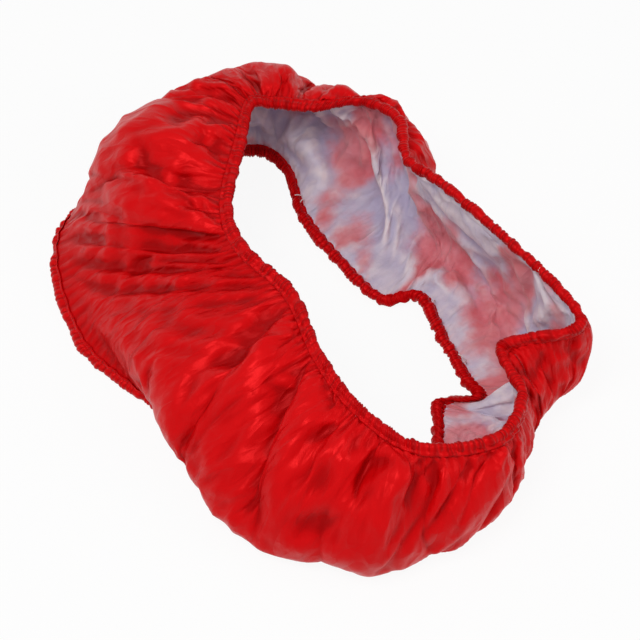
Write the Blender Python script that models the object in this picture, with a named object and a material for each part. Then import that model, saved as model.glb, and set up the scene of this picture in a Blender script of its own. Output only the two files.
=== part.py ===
"""A kayak spray skirt: a gathered ring of red coated cloth with an elastic cord in the hem at each edge.

The skirt lies on a floor as it does off the boat. Two shell panels and two lining panels are lapped and
sewn together at the front and at the rear. A folded casing binds their edges at each hem and holds a cord of
elastic, whose ends meet in a small sleeve.

Units are metres and +Z is up. +X is the front end of the skirt, and the origin is the middle of its base.
"""

import math

import bmesh
import bpy
import numpy as np
from mathutils import Matrix

# Driving sizes of the two hems as they lie relaxed
UPPER_LOOP_LENGTH = 0.478
UPPER_LOOP_WIDTH = 0.287
UPPER_HEM_HEIGHT = 0.135
LOWER_LOOP_LENGTH = 0.516
LOWER_LOOP_WIDTH = 0.322
LOWER_LOOP_SHIFT_X = 0.073
LOWER_LOOP_SHIFT_Y = 0.0755
CLOTH_REACH = 0.100

# Folds of the cloth between the hems
FOLD_COUNT = 18
FOLD_DEPTH = 0.0082
FOLD_SLANT = 0.9
SIDE_FOLD_COUNT = 13
SIDE_FOLD_SHARE = 0.55
LINING_BILLOW = 0.012
LINING_BILLOW_COUNT = 13
SEAM_HOLD = 0.045
FLOOR_EASE = 0.003

# Cloth, casing, elastic and thread
SHELL_THICKNESS = 0.0005
LINING_THICKNESS = 0.0005
CASING_THICKNESS = 0.0006
CLEARANCE = 0.0003
CASING_ROOM = 0.0005
ELASTIC_DIAMETER = 0.0036
ELASTIC_END_GAP = 0.0008
JOIN_LENGTH = 0.016
JOIN_WALL = 0.0006
CASING_LEG = 0.0045
HEM_TONGUE = 0.0034
STITCH_INSET = 0.0020
THREAD_DIAMETER = 0.0008
GATHER_DEPTH = 0.0007
SEAM_LAP = 0.012

# Places, as shares of the way round the loop or across the band
REAR_SEAM_AT = 0.5
ELASTIC_JOIN_AT = 0.605
SEAM_THREAD_FROM = 0.08
SEAM_THREAD_TO = 0.62
STATION_COUNT = 72
BAND_ROWS = (0.0, 0.12, 0.26, 0.42, 0.58, 0.72, 0.82, 0.92, 1.0)

# The upper hem seen from above, drawn by hand from the front end round by the left side. Each point is
# along, across, share of the hem height, how far the cloth reaches out of the hem in hundredths of the
# reach above, and the slope in degrees at which it leaves the hem.
UPPER_OUTLINE = [
    (226, -47, 1.00, 85, 9), (189, 0, 1.00, 120, 10), (130, 68, 1.00, 106, -2), (72, 95, 1.00, 82, -18),
    (-5, 97, 1.00, 75, -15), (-83, 126, 1.00, 75, -10), (-151, 136, 0.96, 75, -10),
    (-216, 117, 0.87, 70, -20), (-252, 44, 0.74, 51, -45), (-231, -13, 0.70, 45, -60),
    (-178, -41, 0.74, 44, -45), (-212, -110, 0.80, 38, -68), (-156, -118, 0.93, 48, -72),
    (-77, -119, 0.98, 58, -75), (-2, -119, 1.00, 56, -75), (46, -116, 1.00, 49, -72),
    (97, -151, 1.00, 47, -55), (145, -146, 1.00, 66, 3), (174, -104, 1.00, 72, 22), (211, -70, 1.00, 67, 16),
]

# The lower hem in the same order: along, across, reach and slope. A slope below nothing tucks the cloth
# under, on the floor.
LOWER_OUTLINE = [
    (288, -25, 90, 75), (318, 72, 110, 74), (295, 168, 104, 106), (172, 229, 74, 120),
    (63, 226, 82, 72), (-35, 220, 116, 0), (-118, 196, 149, -22), (-180, 134, 156, -22),
    (-198, 66, 107, -25), (-166, 28, 84, -22), (-142, 0, 138, -20), (-161, -36, 121, -20),
    (-134, -43, 140, -24), (-80, -61, 150, -24), (-22, -82, 146, -20), (4, -48, 142, -22),
    (74, -50, 134, -22), (148, -63, 112, -10), (211, -93, 90, 18), (259, -86, 80, 45),
]

FINE_STEP = 1e-4
UP = np.array([0.0, 0.0, 1.0])


# The loop and the surface of the band


def sized(outline, length, width):
    """An outline's plan points, centred and scaled to a length and a width."""
    plan = np.array([point[:2] for point in outline], float)
    low, high = plan.min(axis=0), plan.max(axis=0)
    return (plan - (low + high) / 2) / (high - low) * np.array([length, width])


def bore_radius():
    """The radius at the corners of the six-sided tunnel in a casing, round the elastic cord."""
    return (ELASTIC_DIAMETER / 2 + CASING_ROOM) / math.cos(math.pi / 6)


def sleeve_radius():
    """The radius at the corners of the six-sided sleeve that joins the ends of the elastic."""
    return bore_radius() + JOIN_WALL


def sleeve_bore_radius():
    """The radius of the tunnel where it runs over the sleeve."""
    return (sleeve_radius() + CASING_ROOM) / math.cos(math.pi / 6)


def casing_radius():
    """The outer radius of a casing at its fullest, over the sleeve."""
    return sleeve_bore_radius() + CASING_THICKNESS + GATHER_DEPTH


def drawn_points():
    """The drawn points of both hems in metres: place, reach of the cloth, and its slope."""
    upper = sized(UPPER_OUTLINE, UPPER_LOOP_LENGTH, UPPER_LOOP_WIDTH)
    lower = sized(LOWER_OUTLINE, LOWER_LOOP_LENGTH, LOWER_LOOP_WIDTH)
    lower = lower + np.array([LOWER_LOOP_SHIFT_X, LOWER_LOOP_SHIFT_Y])
    top, foot = np.array(UPPER_OUTLINE, float), np.array(LOWER_OUTLINE, float)
    reach_up, reach_down = top[:, 3] * CLOTH_REACH / 100, foot[:, 2] * CLOTH_REACH / 100
    slope = np.radians(foot[:, 3])
    rest = casing_radius() + 4 * CLEARANCE + casing_centre() * np.maximum(np.sin(slope), 0)
    above = np.column_stack([upper, top[:, 2] * UPPER_HEM_HEIGHT, reach_up, np.radians(top[:, 4])])
    below = np.column_stack([lower, rest, reach_down, slope])
    return above, below


def round_curve(points, at):
    """A smooth closed curve through the points, read at shares of the way round."""
    count = len(points)
    place = np.mod(np.asarray(at, float), 1.0) * count
    index = np.floor(place).astype(int)
    t = (place - index)[:, None]
    a, b, c, d = (points[(index + k) % count] for k in (-1, 0, 1, 2))
    return 0.5 * (2 * b + (c - a) * t + (2 * a - 5 * b + 4 * c - d) * t**2 + (3 * b - a - 3 * c + d) * t**3)


def unit(vectors):
    return vectors / np.linalg.norm(vectors, axis=-1, keepdims=True)


def hem_length():
    """The length of the upper hem along its curve."""
    line = round_curve(drawn_points()[0], np.linspace(0, 1, 400))[:, :3]
    return float(np.linalg.norm(np.diff(line, axis=0), axis=1).sum())


def outward(at):
    """The level direction out of the loop, taken from the mean of the two hems."""
    above, below = drawn_points()
    middle = (above[:, :2] + below[:, :2]) / 2
    step = 0.09
    along = round_curve(middle, np.asarray(at) + step) - round_curve(middle, np.asarray(at) - step)
    return unit(np.column_stack([along[:, 1], -along[:, 0], np.zeros(len(along))]))


def smooth_band(at, across):
    """The band without folds: a curved section from hem to hem at each place round the loop."""
    above, below = drawn_points()
    above, below, out = round_curve(above, at), round_curve(below, at), outward(at)
    ends, handles = [], []
    for hem in (above, below):
        reach, slope = hem[:, 3:4], hem[:, 4:5]
        ends.append(hem[:, :3])
        handles.append(hem[:, :3] + (out * np.cos(slope) + UP * np.sin(slope)) * reach)
    t = np.asarray(across, float)[None, :, None]
    rows = [line[:, None, :] for line in (ends[0], handles[0], handles[1], ends[1])]
    weights = [(1 - t) ** 3, 3 * t * (1 - t) ** 2, 3 * t**2 * (1 - t), t**3]
    return sum(weight * row for weight, row in zip(weights, rows))


def normals_of(surface, at, across):
    """The unit normals of a surface function, pointing out of the skirt."""
    at, across = np.asarray(at, float), np.asarray(across, float)
    round_it = surface(at + FINE_STEP, across) - surface(at - FINE_STEP, across)
    over_it = surface(at, across + FINE_STEP) - surface(at, across - FINE_STEP)
    return unit(np.cross(over_it, round_it))


def fade(across):
    """Nothing at the hems and full a little above the middle of the band."""
    over = np.clip(np.asarray(across, float), 0, 1)
    return np.sin(math.pi * over**0.9)[None, :] ** 1.35


def folds(at, across):
    """How far the folds lift the cloth: slanting waves that die out at the hems."""
    turn = 2 * math.pi * np.asarray(at, float)[:, None]
    over = np.asarray(across, float)[None, :]
    main = np.sin(FOLD_COUNT * turn + FOLD_SLANT * math.pi * over)
    side = np.sin(SIDE_FOLD_COUNT * turn - 2 * FOLD_SLANT * math.pi * over + 1.0)
    return FOLD_DEPTH * fade(across) * (main + SIDE_FOLD_SHARE * side) * free_of_seams(at)


def band(at, across):
    """The middle surface of the cloth, with its folds, lying flat where it meets the floor."""
    lift = folds(at, across)[:, :, None]
    surface = smooth_band(at, across) + normals_of(smooth_band, at, across) * lift
    over_floor = surface[:, :, 2] - CLEARANCE / 2 - SHELL_THICKNESS
    eased = np.clip(over_floor + FLOOR_EASE, 0, 2 * FLOOR_EASE) ** 2 / (4 * FLOOR_EASE)
    surface[:, :, 2] += np.where(over_floor < FLOOR_EASE, eased, over_floor) - over_floor
    return surface


def billow(at, across):
    """How far the loose lining hangs off the shell, most of all near the upper hem."""
    turn = 2 * math.pi * np.asarray(at, float)[:, None]
    wave = 0.55 + 0.45 * np.cos(LINING_BILLOW_COUNT * turn + 2.0 * np.asarray(across)[None, :])
    return LINING_BILLOW * fade(across) * wave * free_of_seams(at) * (1 - np.asarray(across))[None, :] * 1.5


def free_of_seams(at):
    """Nothing at the two seams, which hold the cloth flat, and one a little way from them."""
    from_seam = np.minimum(apart(at, 0), apart(at, REAR_SEAM_AT))[:, None]
    return np.clip(from_seam / SEAM_HOLD - 0.25, 0, 1)


# The stations round the loop


def stations():
    """The places where every piece has a section, with those of the seams and of the elastic's join."""
    half_lap = SEAM_LAP / 2 / hem_length()
    half_join = JOIN_LENGTH / 2 / hem_length()
    laps = [-half_lap, half_lap, REAR_SEAM_AT - half_lap, REAR_SEAM_AT + half_lap]
    joins = [ELASTIC_JOIN_AT - half_join, ELASTIC_JOIN_AT + half_join]
    special = [place % 1 for place in laps + joins]
    regular = [i / STATION_COUNT for i in range(STATION_COUNT)]
    room = 0.5 / STATION_COUNT
    kept = [s for s in regular if min(apart(s, place) for place in special) > room]
    kept = [s for s in kept if apart(s, 0) > half_lap and apart(s, REAR_SEAM_AT) > half_lap]
    kept = [s for s in kept if apart(s, ELASTIC_JOIN_AT) > half_join]
    return np.array(sorted(kept + special)), half_lap, half_join


def apart(first, second):
    """How far apart two places are round the loop."""
    return np.abs((np.asarray(first) - second + 0.5) % 1 - 0.5)


# Building blocks in Blender


def clear_scene():
    for obj in list(bpy.data.objects):
        bpy.data.objects.remove(obj, do_unlink=True)


def cloth(name, colour, roughness):
    """A plain material with no metal in it."""
    material = bpy.data.materials.new(name)
    material.use_nodes = True
    shader = material.node_tree.nodes["Principled BSDF"]
    shader.inputs["Base Color"].default_value = (*colour, 1.0)
    shader.inputs["Roughness"].default_value = roughness
    material.diffuse_color = (*colour, 1.0)
    return material


def skin(name, sections, closed, material, order=None):
    """A solid lofted through closed sections, as a ring or as a strip with capped ends.

    order ranks the points of a section across the cloth, so that every layer is split into triangles alike.
    """
    work = bmesh.new()
    rings = [[work.verts.new(point) for point in section] for section in sections]
    pairs = list(zip(rings, rings[1:]))
    if closed:
        pairs.append((rings[-1], rings[0]))
    for first, second in pairs:
        for i in range(len(first)):
            k = (i + 1) % len(first)
            if order is None or order[i] <= order[k]:
                work.faces.new((first[i], first[k], second[k]))
                work.faces.new((first[i], second[k], second[i]))
            else:
                work.faces.new((first[i], first[k], second[i]))
                work.faces.new((first[k], second[k], second[i]))
    if not closed:
        work.faces.new(list(reversed(rings[0])))
        work.faces.new(rings[-1])
    bmesh.ops.recalc_face_normals(work, faces=work.faces[:])
    mesh = bpy.data.meshes.new(name)
    work.to_mesh(mesh)
    work.free()
    mesh.shade_smooth()
    mesh.set_sharp_from_angle(angle=math.radians(50))
    mesh.materials.append(material)
    obj = bpy.data.objects.new(name, mesh)
    SKIRT.objects.link(obj)
    obj.parent = ORIGIN
    return obj


# Panels of the shell and the lining


def hem_frame(at, edge):
    """At one hem: the stitch line, the direction out of the cloth's edge, and the outer normal."""
    inside = FINE_STEP if edge == 0 else 1 - FINE_STEP
    line = band(at, [edge])[:, 0]
    return line, unit(line - band(at, [inside])[:, 0]), normals_of(band, at, [edge])[:, 0]


def layer(at, offset):
    """Points over the whole band at an offset along its normal, with a tongue into each hem."""
    rows = band(at, BAND_ROWS) + normals_of(band, at, BAND_ROWS) * offset[:, :, None]
    tongues = [rows[:, k] + hem_frame(at, edge)[1] * HEM_TONGUE for edge, k in ((0, 0), (1, -1))]
    return np.concatenate([tongues[0][:, None], rows, tongues[1][:, None]], axis=1)


def panel(name, at, face, thickness, material):
    """One panel of cloth between two stations. face is the offset of its outer side over the band."""
    outer, inner = layer(at, face), layer(at, face - thickness)
    order = list(range(outer.shape[1]))
    sections = np.concatenate([outer, inner[:, ::-1]], axis=1)
    return skin(name, sections, False, material, order + order[::-1])


def make_panels(at, rear, half_lap):
    """Two shell panels and two lining panels. The left panels lap outside the right ones in the shell."""
    shell_step = SHELL_THICKNESS + CLEARANCE
    lining_step = LINING_THICKNESS + CLEARANCE
    shell_face = CLEARANCE / 2 + SHELL_THICKNESS
    left = np.concatenate([[at[-1]], at[: rear + 1]])
    right = np.concatenate([at[rear - 1 :], [at[0]]])
    for side, places, over in (("left", left, True), ("right", right, False)):
        lap = (np.minimum(apart(places, 0), apart(places, REAR_SEAM_AT)) < half_lap * 1.01)[:, None]
        shape = np.zeros((len(places), len(BAND_ROWS)))
        step = shape if over else shape - lap * shell_step
        panel(f"shell_panel_{side}", places, shape + shell_face + step, SHELL_THICKNESS, RED_CLOTH)
        step = lap * -(shell_step + (lining_step if over else 0))
        face = shape - CLEARANCE / 2 + step - billow(places, BAND_ROWS)
        panel(f"lining_panel_{side}", places, face, LINING_THICKNESS, PALE_CLOTH)


# The hems


def casing_outline(deeper, wider, fuller):
    """Half-closed section of a casing as (away, outward) pairs: two legs and the tunnel for the elastic.

    deeper moves the inner leg off a lapped seam, wider opens the tunnel for the elastic's sleeve, and
    fuller is the rise of a gather.
    """
    bore = bore_radius() + wider
    round_edge = bore + CASING_THICKNESS + fuller
    centre = casing_centre()
    outer_leg = CLEARANCE / 2 + SHELL_THICKNESS + CASING_ROOM
    inner_leg = CLEARANCE / 2 + LINING_THICKNESS + CASING_ROOM + deeper
    turns = [math.radians(angle) for angle in (120, 60, 0, -60, -120)]
    outside = [(centre + round_edge * math.cos(a), round_edge * math.sin(a)) for a in turns]
    inside = [(centre + bore * math.cos(a), bore * math.sin(a)) for a in reversed(turns)]
    neck = CASING_LEG - CASING_THICKNESS / 2
    return (
        [(0, outer_leg + CASING_THICKNESS), (neck, outer_leg + CASING_THICKNESS)]
        + outside
        + [(neck, -inner_leg - CASING_THICKNESS), (0, -inner_leg - CASING_THICKNESS)]
        + [(0, -inner_leg), (CASING_LEG, -inner_leg)]
        + inside
        + [(CASING_LEG, outer_leg), (0, outer_leg)]
    )


def casing_centre():
    """How far the middle of the elastic lies out from the stitch line's edge of the casing."""
    return CASING_LEG + 1.35 * bore_radius()


def tube(line, across_one, across_two, radius, sides):
    """Round sections along a line, in the plane of two crosswise directions."""
    turns = [2 * math.pi * k / sides for k in range(sides)]
    rings = [across_one * (radius * math.cos(a)) + across_two * (radius * math.sin(a)) for a in turns]
    return np.stack([line + ring for ring in rings], axis=1)


def make_hem(name, edge, at, lapped, joined):
    """One hem: its casing, its elastic with the sleeve over the ends, and a row of stitches on each face."""
    line, away, normal = hem_frame(at, edge)
    lap_depth = SHELL_THICKNESS + LINING_THICKNESS + 2 * CLEARANCE
    swell = sleeve_bore_radius() - bore_radius()
    sections = []
    for i in range(len(at)):
        rise = GATHER_DEPTH if i % 2 else 0.0
        pairs = casing_outline(lap_depth * lapped[i], swell * joined[i], rise)
        sections.append([line[i] + away[i] * a + normal[i] * b for a, b in pairs])
    order = [a if edge else -a for a, b in pairs]
    skin(f"{name}_hem_casing", sections, True, RED_CLOTH, order)

    core = line + away * casing_centre()
    before, after = np.flatnonzero(joined)
    along = core[after] - core[before]
    stop = along / 2 - unit(along) * ELASTIC_END_GAP / 2
    turn = np.roll(np.arange(len(at)), -after)
    cord = tube(core[turn], away[turn], normal[turn], ELASTIC_DIAMETER / 2, 5)
    cord = np.concatenate([[cord[0] - stop], cord, [cord[-1] + stop]])
    skin(f"{name}_elastic_cord", cord, False, ELASTIC)

    pair, inset = [before, after], along * 0.06
    inner, outer = [
        tube(core[pair] + [inset, -inset], away[pair], normal[pair], radius, 6)
        for radius in (bore_radius(), sleeve_radius())
    ]
    skin(f"{name}_elastic_join", [outer[0], outer[1], inner[1], inner[0]], True, SLEEVE)

    thread = THREAD_DIAMETER / 2
    face = CLEARANCE / 2 + 2 * CASING_ROOM + CASING_THICKNESS + thread
    stitch = line + away * STITCH_INSET
    outside = stitch + normal * (face + SHELL_THICKNESS)
    inside = stitch - normal * (face + LINING_THICKNESS + lap_depth * lapped)[:, None]
    skin(f"{name}_hem_outer_thread", tube(outside, away, normal, thread, 3), True, THREAD)
    skin(f"{name}_hem_inner_thread", tube(inside, away, normal, thread, 3), True, THREAD)


def make_seam_threads(name, pair):
    """Rows of stitches over one lapped seam, outside on the shell and inside on the lining."""
    across = np.linspace(SEAM_THREAD_FROM, SEAM_THREAD_TO, 14)
    rows = np.array(BAND_ROWS)
    thread = THREAD_DIAMETER / 2
    lap_depth = SHELL_THICKNESS + LINING_THICKNESS + 2 * CLEARANCE
    for face, place, hang in (("", 1, 0.0), ("_lining", -1, 1.0)):
        depth = CLEARANCE / 2 + SHELL_THICKNESS if place > 0 else CLEARANCE / 2 + LINING_THICKNESS + lap_depth
        lift = place * (depth + 3 * CLEARANCE + thread) - hang * billow(pair, rows)
        sheet = (band(pair, rows) + normals_of(band, pair, rows) * lift[:, :, None]).mean(axis=0)
        line = np.column_stack([np.interp(across, rows, sheet[:, k]) for k in range(3)])
        up = unit(np.gradient(line, axis=0))
        round_it = unit(band(pair[1:], across)[0] - band(pair[:1], across)[0])
        normal = unit(np.cross(up, round_it))
        skin(f"{name}{face}_seam_thread", tube(line, round_it, normal, thread, 4), False, THREAD)


clear_scene()
SKIRT = bpy.data.collections.new("kayak_spray_skirt")
bpy.context.scene.collection.children.link(SKIRT)
ORIGIN = bpy.data.objects.new("spray_skirt_origin", None)
SKIRT.objects.link(ORIGIN)

RED_CLOTH = cloth("red_coated_nylon", (0.56, 0.006, 0.010), 0.45)
PALE_CLOTH = cloth("pale_thin_lining", (0.62, 0.58, 0.63), 0.75)
ELASTIC = cloth("white_elastic", (0.70, 0.70, 0.68), 0.60)
SLEEVE = cloth("elastic_sleeve", (0.30, 0.30, 0.32), 0.40)
THREAD = cloth("red_thread", (0.45, 0.006, 0.010), 0.55)

AT, HALF_LAP, HALF_JOIN = stations()
LAPPED = np.minimum(apart(AT, 0), apart(AT, REAR_SEAM_AT)) < HALF_LAP * 1.01
JOINED = apart(AT, ELASTIC_JOIN_AT) < HALF_JOIN * 1.01
REAR = int(np.flatnonzero(LAPPED)[2])
make_panels(AT, REAR, HALF_LAP)
make_hem("upper", 0, AT, LAPPED, JOINED)
make_hem("lower", 1, AT, LAPPED, JOINED)
make_seam_threads("front", np.array([AT[-1] - 1, AT[0]]))
make_seam_threads("rear", np.array([REAR_SEAM_AT - HALF_LAP, REAR_SEAM_AT + HALF_LAP]))

# The origin goes to the middle of the base
EVERY_POINT = np.array([v.co[:] for obj in SKIRT.objects if obj.type == "MESH" for v in obj.data.vertices])
LOW, HIGH = EVERY_POINT.min(axis=0), EVERY_POINT.max(axis=0)
for obj in SKIRT.objects:
    if obj.type == "MESH":
        obj.data.transform(Matrix.Translation((-(LOW[0] + HIGH[0]) / 2, -(LOW[1] + HIGH[1]) / 2, -LOW[2])))
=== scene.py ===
import bpy
import math
import numpy as np
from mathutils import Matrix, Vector
from mathutils.bvhtree import BVHTree


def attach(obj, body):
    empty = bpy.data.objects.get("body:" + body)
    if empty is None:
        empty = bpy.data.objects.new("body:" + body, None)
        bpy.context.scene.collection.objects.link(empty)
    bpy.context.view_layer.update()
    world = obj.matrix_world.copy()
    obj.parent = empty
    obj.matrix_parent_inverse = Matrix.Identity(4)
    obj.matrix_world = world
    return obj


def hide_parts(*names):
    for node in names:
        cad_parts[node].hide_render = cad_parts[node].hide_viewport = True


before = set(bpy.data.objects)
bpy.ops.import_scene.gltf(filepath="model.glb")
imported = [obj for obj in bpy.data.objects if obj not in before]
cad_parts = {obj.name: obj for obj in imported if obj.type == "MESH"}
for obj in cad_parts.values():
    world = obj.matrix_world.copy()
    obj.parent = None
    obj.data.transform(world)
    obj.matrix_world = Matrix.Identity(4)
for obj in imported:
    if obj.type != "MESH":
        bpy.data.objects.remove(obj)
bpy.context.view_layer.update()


# Shell panels
# Two lengths of thin red nylon taffeta, 1.16 m and 0.84 m long and up to 0.30 m wide, joined end to end into
# a band of 2 m. The elastic in both hems draws it up, and the cloth between stands out in puffs and folds.

LOOP_LENGTH = 2.00
PANEL_WIDTH = 0.25
TAFFETA_THICKNESS = 0.0004
HEM_TURNING = 0.0030
ROUND_STEPS = 560
ACROSS_STEPS = 40
SETTLE_FRAMES = 22
DRAWN_UP_BY = 9
CUT_EASE = 0.04
CUT_ABOVE_TABLE = 0.003
TABLE_CLEAR = 0.0015
FLOOR_CLEAR = 0.0006
ROWS_CROWDED_TO_HEMS = 0.55

# The gathers that the elastic presses into each hem: how many, the seed of their unevenness, their height,
# and the share of the band over which they die out.
GATHERS_UPPER = 92
GATHERS_LOWER = 104
GATHER_SEED_UPPER = 3
GATHER_SEED_LOWER = 9
GATHER_HEIGHT = 0.0009
GATHER_REACH = 0.07

# The folds that the cloth starts with, counted round the loop, with their height and slant in half turns.
# Each of the small ones has its count, slant, share of the height and start.
MAIN_FOLDS = 18
MAIN_FOLD_HEIGHT = 0.0082
MAIN_FOLD_SLANT = 0.9
CROSS_FOLDS = 13
CROSS_FOLD_SHARE = 0.55
CROSS_FOLD_SLANT = 1.8
SMALL_FOLDS = ((26, 1.1, 1.0, 0.3), (37, 0.6, 0.8, 4.0), (53, -0.8, 0.5, 2.0))
SMALL_FOLD_HEIGHT = 0.0016
PUFF = 0.014

# How far the settled cloth may stray from where it was drawn, so that the skirt keeps its outline.
STRAY = 0.035

# What is pressed into the settled cloth: puffs, wrinkles (count, slant, height and seed), pleats and seams.
PUFF_COUNT = 18
PUFF_HEIGHT = 0.0085
PUFF_SLANT = 0.45
PUFF_SEED = 71
PUFF_SIZE_SEED = 77
SHELL_WRINKLES = ((47, 4.0, 0.0020, 91), (31, -5.0, 0.0024, 93), (19, 7.0, 0.0022, 95))
WRINKLE_MEAN = 0.0022
CALM_REACH = 0.10
PLEATS_UPPER = 191
PLEATS_LOWER = 217
PLEAT_SEED_UPPER = 21
PLEAT_SEED_LOWER = 25
PLEAT_HEIGHT = 0.0013
PLEAT_REACH = 0.075
PLEAT_START = 0.008
LOWER_PLEAT_SHARE = 0.5
SEAM_DITCH = 0.0011
SEAM_DITCH_WIDTH = 0.0028
MEAN_HEM_LENGTH = 1.4

# The two hems seen from above, in millimetres, from the front end round by the left side: along, across,
# height, how far the cloth reaches out of the hem, and the slope at which it leaves it.
UPPER_HEM = [
    (226, -47, 135, 85, 9), (189, 0, 135, 120, 10), (130, 68, 135, 106, -2), (72, 95, 135, 82, -18),
    (-5, 97, 135, 75, -15), (-83, 126, 135, 75, -10), (-151, 136, 129.6, 75, -10),
    (-216, 117, 117.5, 70, -20), (-252, 44, 99.9, 51, -45), (-231, -13, 94.5, 45, -60),
    (-178, -41, 99.9, 44, -45), (-212, -110, 108, 38, -68), (-156, -118, 125.6, 48, -72),
    (-77, -119, 132.3, 58, -75), (-2, -119, 135, 56, -75), (46, -116, 135, 49, -72),
    (97, -151, 135, 47, -55), (145, -146, 135, 66, 3), (174, -104, 135, 72, 22), (211, -70, 135, 67, 16),
]
UPPER_SIZE = (0.478, 0.287)
UPPER_CENTRE = (-0.0357, -0.0522)
LOWER_HEM = [
    (288, -25, 14.6, 90, 75), (318, 72, 14.6, 110, 74), (295, 168, 14.6, 104, 106),
    (172, 229, 13.8, 74, 120), (63, 226, 14.5, 82, 72), (-35, 220, 6.8, 116, 0), (-118, 196, 6.8, 149, -22),
    (-180, 134, 6.8, 156, -22), (-198, 66, 6.8, 107, -25), (-166, 28, 6.8, 84, -22),
    (-142, 0, 6.8, 138, -20), (-161, -36, 6.8, 121, -20), (-134, -43, 6.8, 140, -24),
    (-80, -61, 6.8, 150, -24), (-22, -82, 6.8, 146, -20), (4, -48, 6.8, 142, -22), (74, -50, 6.8, 134, -22),
    (148, -63, 6.8, 112, -10), (211, -93, 9.3, 90, 18), (259, -86, 12.6, 80, 45),
]
LOWER_SIZE = (0.516, 0.322)
LOWER_CENTRE = (0.0373, 0.0233)


def unit(vectors):
    """The vectors at a length of one."""
    return vectors / np.linalg.norm(vectors, axis=-1, keepdims=True)


def hem_points(drawn, size, centre):
    """A drawn hem in metres and radians, at its size and place."""
    points = np.array(drawn, float)
    low, high = points[:, :2].min(axis=0), points[:, :2].max(axis=0)
    points[:, :2] = (points[:, :2] - (low + high) / 2) / (high - low) * np.array(size) + np.array(centre)
    points[:, 2:4] /= 1000
    points[:, 4] = np.radians(points[:, 4])
    return points


def round_curve(points, at):
    """A smooth closed curve through the points, read at shares of the way round."""
    count = len(points)
    place = np.mod(np.asarray(at, float), 1.0) * count
    index = np.floor(place).astype(int)
    t = (place - index)[:, None]
    a, b, c, d = (points[(index + k) % count] for k in (-1, 0, 1, 2))
    return 0.5 * (2 * b + (c - a) * t + (2 * a - 5 * b + 4 * c - d) * t**2 + (3 * b - a - 3 * c + d) * t**3)


upper_points = hem_points(UPPER_HEM, UPPER_SIZE, UPPER_CENTRE)
lower_points = hem_points(LOWER_HEM, LOWER_SIZE, LOWER_CENTRE)


def drawn_band(at, across):
    """The band as it would lie without folds, from the upper hem at 0 to the lower hem at 1."""
    at = np.asarray(at, float)
    reach = 0.09
    middle = (upper_points[:, :2] + lower_points[:, :2]) / 2
    along = round_curve(middle, at + reach) - round_curve(middle, at - reach)
    out = unit(np.column_stack([along[:, 1], -along[:, 0], np.zeros(len(at))]))
    t = np.asarray(across, float)[None, :, None]
    ends = []
    for hem in (round_curve(upper_points, at), round_curve(lower_points, at)):
        lean = out * np.cos(hem[:, 4:5]) + np.array([0.0, 0.0, 1.0]) * np.sin(hem[:, 4:5])
        ends.append((hem[:, :3][:, None], (hem[:, :3] + lean * hem[:, 3:4])[:, None]))
    (top, top_handle), (foot, foot_handle) = ends
    return (1 - t)**3 * top + 3 * t * (1 - t)**2 * top_handle + 3 * t**2 * (1 - t) * foot_handle + t**3 * foot


def facing_out(at, across):
    """The outer normals of the drawn band."""
    step = 1e-4
    round_it = drawn_band(np.asarray(at) + step, across) - drawn_band(np.asarray(at) - step, across)
    over_it = drawn_band(at, np.asarray(across) + step) - drawn_band(at, np.asarray(across) - step)
    return unit(np.cross(over_it, round_it))


def uneven(at, waves, seed):
    """A smooth uneven value round the loop, about -1 to 1 in most places, the same on every run."""
    dice = np.random.default_rng(seed)
    size, start = dice.normal(size=waves), dice.uniform(0, 2 * math.pi, waves)
    turns = 2 * math.pi * np.outer(np.asarray(at, float), np.arange(1, waves + 1)) + start
    return (np.cos(turns) * size).sum(axis=1) / math.sqrt(waves / 2)


def gathers(at, count, seed):
    """The uneven wave that the drawn-up elastic presses into a hem."""
    wander = 1.3 * uneven(at, 36, seed)
    return np.sin(2 * math.pi * count * np.asarray(at) + wander) * (1 + 0.3 * uneven(at, 50, seed + 1))


def fade(across):
    """Nothing at the hems and full a little above the middle of the band."""
    return np.sin(math.pi * np.clip(across, 0, 1)**0.9)[None, :] ** 1.35


def from_seam(at):
    """The share of the way round to the nearer of the two seams, at 0 and at one half."""
    return np.minimum(np.abs((at + 0.5) % 1 - 0.5), np.abs(at - 0.5))


def free_of_seams(at):
    """Nothing at the two seams, which hold the cloth flat, and one a little way from them."""
    return np.clip(from_seam(at) / 0.045 - 0.25, 0, 1)[:, None]


def main_folds(at, across):
    """How far the main folds lift the cloth: slanting waves that die out at the hems."""
    turn, over = 2 * math.pi * at[:, None], across[None, :]
    main = np.sin(MAIN_FOLDS * turn + MAIN_FOLD_SLANT * math.pi * over)
    cross = np.sin(CROSS_FOLDS * turn - CROSS_FOLD_SLANT * math.pi * over + 1.0)
    waves = main + CROSS_FOLD_SHARE * cross
    return MAIN_FOLD_HEIGHT * fade(across) * waves * free_of_seams(at)


def slanting_waves(at, across, waves):
    """Waves round the loop that slant across the band, each with its count, slant, height and start."""
    return sum(
        height * np.sin(2 * math.pi * count * at[:, None] + slant * math.pi * across[None, :] + begin)
        for count, slant, height, begin in waves)


def new_piece(name, points, faces):
    """A smooth mesh object at the origin."""
    mesh = bpy.data.meshes.new(name)
    mesh.from_pydata(points.reshape(-1, 3).tolist(), [], faces)
    mesh.shade_smooth()
    piece = bpy.data.objects.new(name, mesh)
    bpy.context.scene.collection.objects.link(piece)
    return piece


def stands_for(piece, node, finish):
    """Gives a piece its finish and puts it in the place of a CAD node."""
    piece.data.materials.append(finish)
    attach(piece, "root")
    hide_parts(node)


def ring_of_cloth(name, grid):
    """A mesh ring over a grid of points, round the loop and across the band, that faces outwards."""
    steps, rows = grid.shape[:2]
    number = np.arange(steps * rows).reshape(steps, rows)
    beside = np.roll(number, -1, axis=0)
    faces = np.stack([number[:, :-1], number[:, 1:], beside[:, 1:], beside[:, :-1]], axis=2).reshape(-1, 4)
    return new_piece(name, grid, faces.tolist())


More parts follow.
